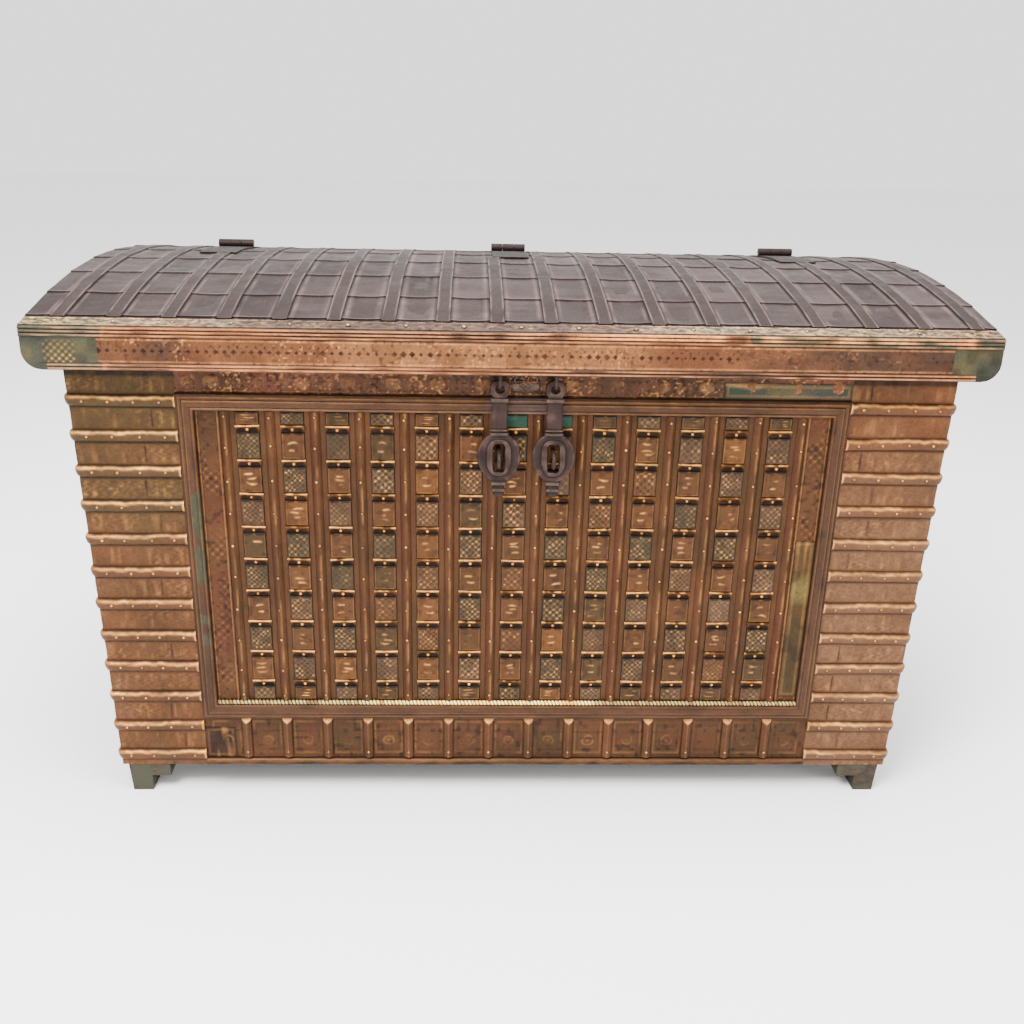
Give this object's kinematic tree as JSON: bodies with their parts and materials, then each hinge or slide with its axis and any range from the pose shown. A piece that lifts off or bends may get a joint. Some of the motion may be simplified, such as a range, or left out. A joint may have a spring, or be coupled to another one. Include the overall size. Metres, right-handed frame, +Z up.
{
  "type": "dowry chest",
  "caption": "Low-domed wooden dowry chest clad in embossed sheet metal, with a hinged lid, two swinging hasps and stepped bracket feet.",
  "frame": {"origin": "on the floor, under the middle of the lid", "axes": "+X along the chest to its right, +Y from the front to the back, +Z up"},
  "size_m": [1.5, 0.8, 0.9063],
  "materials": {
    "wood": "worn",
    "foot_paint": "worn paint",
    "post_copper": "embossed, aged",
    "panel_copper": "embossed, aged",
    "lattice_metal": "embossed, tarnished",
    "figured_metal": "embossed, aged",
    "frame_copper": "aged",
    "bright_brass": "rubbed bright",
    "dark_copper": "dark patina",
    "green_patina": "verdigris",
    "rail_copper": "pierced, aged",
    "lid_metal": "dull, worn",
    "iron": "rusty"
  },
  "bodies": {
    "carcass": {"front_wall": "wood", "back_wall": "wood", "left_end_wall": "wood", "right_end_wall": "wood", "floor_boards": "wood", "rear_rail": "wood", "rear_end_rails": "wood", "parting_beam": "wood", "rear_planks": "wood", "front_left_foot": "foot_paint", "front_right_foot": "foot_paint", "rear_left_foot": "foot_paint", "rear_right_foot": "foot_paint", "post_sheets": "post_copper", "end_sheets": "post_copper", "post_bands": "post_copper", "panel_sheet": "panel_copper", "panel_battens": "panel_copper", "panel_ridges": "panel_copper", "lower_band_sheet": "panel_copper", "lower_band_ribs": "panel_copper", "base_moulding": "panel_copper", "side_strips": "panel_copper", "lattice_plates": "lattice_metal", "figured_plates": "figured_metal", "frame_bottom": "frame_copper", "frame_right": "frame_copper", "frame_top": "frame_copper", "frame_left": "frame_copper", "rope_moulding": "bright_brass", "frieze_sheet": "dark_copper", "lower_band_patch": "dark_copper", "lock_plate": "dark_copper", "frieze_patch": "green_patina", "side_patch": "green_patina", "rear_sheet": "lid_metal", "rear_ribs": "lid_metal", "rear_end_sheets": "lid_metal", "rear_hinge_straps": "iron", "hinge_pins": "iron", "hasp_staples": "iron"},
    "lid": {"lid_front_rail": "wood", "lid_left_rail": "wood", "lid_right_rail": "wood", "lid_planks": "wood", "lid_cleats": "wood", "rail_caps": "green_patina", "rail_pierced_sheet": "rail_copper", "rail_plain_sheet": "rail_copper", "rail_low_reeds": "rail_copper", "rail_top_moulding": "rail_copper", "lid_border_sheet": "lid_metal", "lid_sheets": "lid_metal", "lid_ribs": "lid_metal", "lid_end_sheets": "lid_metal", "lid_hinge_straps": "lid_metal", "hasp_rings": "iron"},
    "left_hasp_swing": {"left_hasp": "iron"},
    "right_hasp_swing": {"right_hasp": "iron"}
  },
  "joints": [
    {"name": "lid_hinge", "type": "hinge", "parent": "carcass", "child": "lid", "pos_m": [0, 0.245, 0.89847], "axis": [-1, 0, 0], "range_deg": [0, 100]},
    {"name": "left_hasp_hinge", "type": "hinge", "parent": "lid", "child": "left_hasp_swing", "pos_m": [-0.02701, -0.374, 0.773], "axis": [-1, 0, 0], "range_deg": [0, 100]},
    {"name": "right_hasp_hinge", "type": "hinge", "parent": "lid", "child": "right_hasp_swing", "pos_m": [0.06005, -0.374, 0.773], "axis": [-1, 0, 0], "range_deg": [0, 100]}
  ]
}
